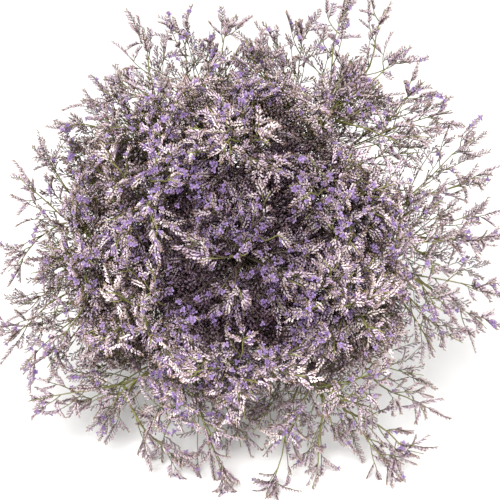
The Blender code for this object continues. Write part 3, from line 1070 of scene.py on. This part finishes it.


# %% [markdown]
# The stems are dried, not painted: a smooth waxy skin that was bright green on the plant and has turned
# olive, browner towards the cut ends and in patches of a few millimetres. The patches are a noise, the
# browning follows the tone, a painted shade darkens what sits deep in the head, and the fresh cut is pale.

# %% Dried stem
def stem_material():
    """Olive, browned and waxy, with painted shade deep in the head."""
    material, tree, shader = new_material("dried_statice_stem", Roughness=0.55, Specular_IOR_Level=0.35)
    olive = mixed(tree, noise(tree, 260.0, 3.0), "#6e7436", "#919550")
    browned = mixed(tree, value_of(tree, "tone"), olive, "#67503e")
    # painted shade: the colour turns dark with each point's shade
    deep = shaded(tree, 0.80, browned, "#392631")
    cover(tree, shader, mixed(tree, value_of(tree, "age"), deep, "#cdbd92"), 1800.0, 0.35)
    return material


# %% [markdown]
# The calyx is dry, thin tissue, like crepe paper: dull, without gloss. Its foot is brown to mauve and its rim
# cream to pinkish white, and the buds at the spikes' tips are mauve to tan. The share from foot to rim drives
# the ramp, the tone shifts it from flower to flower, and the age moves it to the colour of the buds. Last, a
# painted shade turns it dark deep in the head and towards its middle, and it is darker towards the head's
# rim.

# %% Papery calyx
def calyx_material():
    """Dark at the foot, pale at the rim, tan where it is still a bud, and darkened by painted shade deep in
    the head.
    """
    material, tree, shader = new_material("dried_papery_calyx", Roughness=0.80, Specular_IOR_Level=0.20)
    tone = value_of(tree, "tone")
    age = value_of(tree, "age")
    foot = mixed(tree, tone, "#553849", "#5a3c69")
    rim = mixed(tree, tone, "#fdf3e6", "#d1b6d2")
    limits = {"From Min": 0.28, "From Max": 0.72}
    share = {"Value": value_of(tree, "share")}
    rise = add_node(tree, "MapRange", limits, share, interpolation_type="SMOOTHSTEP")
    body = mixed(tree, rise.outputs["Result"], foot, rim)
    bud = mixed(tree, age, "#80627e", "#a28873")
    # painted shade: the colour turns dark with each point's shade
    cover(tree, shader, shaded(tree, 0.82, mixed(tree, age, body, bud), "#42243f"), 2500.0, 0.4)
    return material


# %% [markdown]
# The petals keep their violet when they dry, deeper in the throat and paler at the edge, and each flower has
# its own strength of colour. They are as thin and dull as tissue.

# %% Violet petals
def petal_material():
    """Violet from throat to edge."""
    material, tree, shader = new_material("dried_violet_petal", Roughness=0.70, Specular_IOR_Level=0.25)
    tone = value_of(tree, "tone")
    throat = mixed(tree, tone, "#4f3869", "#62487b")
    edge = mixed(tree, tone, "#786190", "#9e87b2")
    cover(tree, shader, mixed(tree, value_of(tree, "share"), throat, edge), 1500.0, 0.3)
    return material


STEM = stem_material()
CALYX = calyx_material()
PETAL = petal_material()
print("materials", [material.name for material in (STEM, CALYX, PETAL)])

# %% [markdown]
# The green parts of a stem. They are rods at every size, from the stalk of 4 mm to the axis of a spike, each
# thinner than what it grows from. A small brown bract sits under each branchlet, as on the plant.

# %% Stalk, branches, branchlets and spike axes
STALK_RADIUS = (1.9 * MM, 1.2 * MM)
STALK_TONES = (0.95, 0.55, 0.20)
CUT_DEPTH = 0.4 * MM
BRANCH_RADIUS = (1.00 * MM, 0.35 * MM)
OPEN_RADIUS = (1.40 * MM, 0.36 * MM)
FILL_RADIUS = (0.90 * MM, 0.42 * MM)
BRANCHLET_RADIUS = (0.50 * MM, 0.36 * MM)
SPIKE_RADIUS = (0.38 * MM, 0.25 * MM)
BRANCH_TONES = (0.0, 0.35)
BRANCHLET_TONES = (0.1, 0.6)
SPIKE_TONES = (0.2, 0.8)
BRACT_LENGTH = 2.8 * MM
BRACT_RADIUS = 0.75 * MM
BRACT_SPREAD = (0.7, 1.2)


def tapered(count, rings, ends):
    """The radii of so many rods that taper evenly from one end to the other."""
    return np.tile(np.linspace(ends[0], ends[1], rings), (count, 1))


def stalk_heights(foot, top):
    """The heights of a stalk's rings: two close ones at the cut, then its stretches."""
    below = np.linspace(foot + CUT_DEPTH, 0, STALK_RINGS[0])[:-1]
    tied = np.linspace(0, PARTED_BY, STALK_RINGS[1])[:-1]
    return np.concatenate([[foot], below, tied, np.linspace(PARTED_BY, top, STALK_RINGS[2])])


def stems_of(stem, spikes, deep, dice):
    """A stem's stalk, branches, branchlets and spike axes as rods, and a bract under each branchlet."""
    foot, top, _ = STEMS[stem]
    grown = GROWN[stem]
    stems = Gathered()
    heights = stalk_heights(foot, top)
    stalk = np.array([[stalk_point(stem, height) for height in heights]])
    stalk_radii = np.interp(heights, (0, top), STALK_RADIUS)[None]
    points, faces, tones, shares = lay_rods("stalk", stalk, stalk_radii, np.zeros(1))
    tones = np.interp(points[:, 2], (foot, 0, top / 2), STALK_TONES)
    stems.add(points, faces, tones, shares, (shares == 0) * 1.0)
    lines = np.array([on_bow(arch, np.linspace(0, 1, BRANCH_RINGS)) for arch in grown["branches"]])
    far_out = reach_of(lines[:, -1]) > OPEN_FROM
    radii = tapered(len(lines), BRANCH_RINGS, BRANCH_RADIUS)
    radii[far_out] = np.linspace(*OPEN_RADIUS, BRANCH_RINGS)
    radii[grown["main"] :] = np.linspace(*FILL_RADIUS, BRANCH_RINGS)
    stems.add(*lay_rods("branch", lines, radii, dice.uniform(*BRANCH_TONES, len(lines))))
    lines = np.array([on_bow(arch, np.linspace(0, 1, FINE_RINGS)) for arch in grown["branchlets"]])
    radii = tapered(len(lines), FINE_RINGS, BRANCHLET_RADIUS)
    stems.add(*lay_rods("branchlet", lines, radii, dice.uniform(*BRANCHLET_TONES, len(lines))))
    ahead = units(lines[:, 1] - lines[:, 0])
    hints = dice.normal(size=ahead.shape)
    sizes = dice.uniform(*BRACT_SPREAD, len(lines))
    lengths = BRACT_LENGTH * sizes
    points, faces = place_flowers("bud", lines[:, 0], ahead, hints, lengths, BRACT_RADIUS * sizes)
    stems.add(points, faces, np.ones(len(points)), np.zeros(len(points)))
    radii = tapered(len(spikes), FINE_RINGS, SPIKE_RADIUS)
    tones = dice.uniform(*SPIKE_TONES, len(spikes))
    stems.add(*lay_rods("spike", spikes[~deep], radii[~deep], tones[~deep]))
    stems.add(*lay_rods("deep spike", spikes[deep][:, [0, 3]], radii[deep][:, [0, 3]], tones[deep]))
    return stems


# %% [markdown]
# Dressing the 13 stems. Each is grown with its own seed, so the bunch is the same each time the script runs.
# A share of the flowers still holds its five violet petals. On the real bunch that share changes from spray
# to spray, so a slow wave through space decides it. Flowers out of sight get the plain cone.

# %% The stems, calyces and petals
HIDDEN = 0.016
SPIKE_TONE_RANGE = ((0.15, 0.20), (1.0, 0.7))
SPIKE_TONE_SHARE = 0.6
FLOWER_TONE_SHARE = 0.4
BUD_AGE = 0.62
OPEN_MEAN = 0.13
OPEN_SWING = 0.19
OPEN_LIMITS = (0.02, 0.50)
MOUTH_AT = 0.85
PETAL_REACH = 2.5 * MM
PETAL_SPREAD = (0.80, 1.15)


def dress_stem(stem):
    """Makes the three pieces of one stem."""
    dice = np.random.default_rng(SEED * 300 + stem)
    name = f"spray_{stem + 1:02d}"
    calyces, petals = Gathered(), Gathered()
    lines, ups, lengths = spike_lines(GROWN[stem]["spikes"], dice)
    feet, ways, hints, sizes, ages, owners, deep, young = flowers_on(lines, ups, lengths, dice)
    stems = stems_of(stem, lines, deep, dice)
    reach = reach_of(lines[:, 1])
    spike_tones = dice.uniform(0, 1, len(lines)) * np.interp(reach, *SPIKE_TONE_RANGE)
    flower_tones = dice.uniform(0, 1, len(feet))
    tones = np.clip(SPIKE_TONE_SHARE * spike_tones[owners] + FLOWER_TONE_SHARE * flower_tones, 0, 1)
    is_bud = (ages > BUD_AGE) | young[owners]
    is_deep = deep[owners] | (depth_of(feet) > HIDDEN)
    for kind, chosen in (("calyx", ~is_bud & ~is_deep), ("cone", is_deep), ("bud", is_bud & ~is_deep)):
        count = int(chosen.sum())
        if not count:
            continue
        length = CALYX_LENGTH * sizes[chosen]
        radius = CALYX_RIM * sizes[chosen] * (BUD_WIDTH if kind == "bud" else 1.0)
        points, faces = place_flowers(kind, feet[chosen], ways[chosen], hints[chosen], length, radius)
        one = FLOWERS[kind][0]
        shares = np.tile(one[:, 2], count)
        kept = [np.repeat(values[chosen], len(one)) for values in (tones, ages)]
        calyces.add(points, faces, kept[0], shares, kept[1])
    open_share = np.clip(OPEN_MEAN + OPEN_SWING * slow_wave(feet), *OPEN_LIMITS) * (1 - ages**2)
    is_open = (dice.uniform(0, 1, len(feet)) < open_share) & ~is_bud & ~deep[owners]
    mouths = feet[is_open] + ways[is_open] * (CALYX_LENGTH * sizes[is_open] * MOUTH_AT)[:, None]
    petal_size = PETAL_REACH * dice.uniform(*PETAL_SPREAD, int(is_open.sum()))
    points, faces = place_flowers("petals", mouths, ways[is_open], hints[is_open], petal_size, petal_size)
    one = FLOWERS["petals"][0]
    tones = np.repeat(dice.uniform(0, 1, len(mouths)), len(one))
    petals.add(points, faces, tones, np.tile(reach_of(one), len(mouths)))
    made = [
        stems.make(name + "_stems", name, "dried_stem", STEM),
        calyces.make(name + "_calyces", name, "dried_calyx", CALYX),
        petals.make(name + "_petals", name, "dried_petal", PETAL),
    ]
    print(name, "spikes", len(lines), "flowers", len(feet), "petals", len(mouths), "triangles", made)
    return sum(made)


total = sum(dress_stem(stem) for stem in sorted(STEMS))
print("triangles in the sprays", total)

# %% [markdown]
# The band is a plain elastic strand, wound a few times round the stalks. Each turn follows the outline of the
# six outer stalks. It is one rod that is laid along the whole winding, so the turns cross and lie beside each
# other as in a real one.

# %% The elastic band
BAND_TURNS = 4
BAND_WIDTH = 0.006
STRAND_RADIUS = 0.75 * MM
STRAND_POINTS = 36
STALK_BODY = 2.0 * MM
STRAND_LIFT = 0.25 * MM
SLOPE_STEP = 0.01


def band_outline(angle):
    """How far the outline of the six outer stalks lies from the axis, at an angle in radians."""
    best = 0.0
    for ring, site in SITES:
        if ring == 2:
            middle = site * STALK_SPACING
            away = middle.x * math.cos(angle) + middle.y * math.sin(angle)
            best = max(best, away + STALK_BODY)
    return best


def band_line():
    """The winding: four turns that climb across the band's width and back, closed at the end."""
    points = []
    count = STRAND_POINTS * BAND_TURNS
    for k in range(count + 1):
        angle = math.tau * BAND_TURNS * k / count
        support = band_outline(angle)
        slope = (band_outline(angle + SLOPE_STEP) - band_outline(angle - SLOPE_STEP)) / (2 * SLOPE_STEP)
        out = Vector((math.cos(angle), math.sin(angle))) * (support + STRAND_RADIUS)
        along = Vector((-math.sin(angle), math.cos(angle))) * slope
        level = math.sin(math.tau * k / count) * (BAND_WIDTH / 2 - STRAND_RADIUS)
        lift = STRAND_LIFT * math.sin(math.tau * (BAND_TURNS - 1) * k / count)
        spot = out + along + Vector((math.cos(angle), math.sin(angle))) * lift
        points.append((spot.x, spot.y, level))
    return points


RODS["band"] = rod_template(8, STRAND_POINTS * BAND_TURNS + 1)
band_material, tree, shader = new_material("natural_rubber_band", Roughness=0.60)
tan = mixed(tree, noise(tree, 600.0, 3.0), "#a9793f", "#c49a62")
tree.links.new(tan, shader.inputs["Base Color"])
band = Gathered()
line = np.array([band_line()])
band.add(*lay_rods("band", line, np.full((1, line.shape[1]), STRAND_RADIUS), np.zeros(1)))
print("band triangles", band.make("tie_band_windings", "tie_band", "elastic_band", band_material))

# %% [markdown]
# The stage: a pale floor that runs far past the frame, and soft studio light. The real light was very soft
# and came from above and a little to the left. So a large key light stands on that side behind the camera, a
# weaker one fills the other side, and the world round them is pale.

# %% Floor and light
floor_shape = bmesh.new()
bmesh.ops.create_grid(floor_shape, x_segments=1, y_segments=1, size=8.0)
floor_mesh = bpy.data.meshes.new("floor")
floor_shape.to_mesh(floor_mesh)
floor_shape.free()
floor = bpy.data.objects.new("floor", floor_mesh)
bpy.context.scene.collection.objects.link(floor)
floor_material, tree, shader = new_material("pale_floor", Roughness=0.9)
shader.inputs["Base Color"].default_value = linear("#f4f3f2")
floor_mesh.materials.append(floor_material)

world = bpy.data.worlds.new("studio")
world.use_nodes = True
sky = world.node_tree.nodes["Background"]
sky.inputs["Color"].default_value = linear("#ffffff")
sky.inputs["Strength"].default_value = 0.48
bpy.context.scene.world = world


def soft_light(name, place, target, size, power):
    """A square soft light at a place, turned to a target."""
    lamp = bpy.data.lights.new(name, "AREA")
    lamp.size = size
    lamp.energy = power
    light = bpy.data.objects.new(name, lamp)
    light.location = place
    light.rotation_euler = (Vector(target) - Vector(place)).to_track_quat("-Z", "Y").to_euler()
    bpy.context.scene.collection.objects.link(light)


head = LYING @ Vector((0, 0, 0.30))
soft_light("key", (-1.1, -4.1, 3.7), head, 3.0, 500.0)
soft_light("fill", (2.8, -2.8, 2.6), head, 2.4, 130.0)
print("head centre", [round(c, 3) for c in head])

# %% [markdown]
# The camera looks straight down the stems at the head, as in the photograph. The frame is about 0.45 m wide
# at the height of the rim, and the axis lies a little left of its middle and a little below.

# %% Camera
PHOTO_SIZE = 500
RIM_WIDTH = 0.450
DISTANCE = 1.30
AXIS_PIXEL = (245, 255)
RIM_LEVEL = 0.28

camera_data = bpy.data.cameras.new("camera")
camera_data.lens = camera_data.sensor_width * DISTANCE / RIM_WIDTH
camera = bpy.data.objects.new("camera", camera_data)
bpy.context.scene.collection.objects.link(camera)
pixel = RIM_WIDTH / PHOTO_SIZE
right = (PHOTO_SIZE / 2 - AXIS_PIXEL[0]) * pixel
up = (AXIS_PIXEL[1] - PHOTO_SIZE / 2) * pixel
middle = Vector((right, up, RIM_LEVEL))
camera.matrix_world = LYING @ Matrix.Translation(middle + Vector((0, 0, DISTANCE)))
bpy.context.scene.camera = camera
bpy.context.scene.view_settings.view_transform = "Standard"
print("lens", round(camera_data.lens, 1), "mm, camera at", [round(c, 3) for c in camera.location])
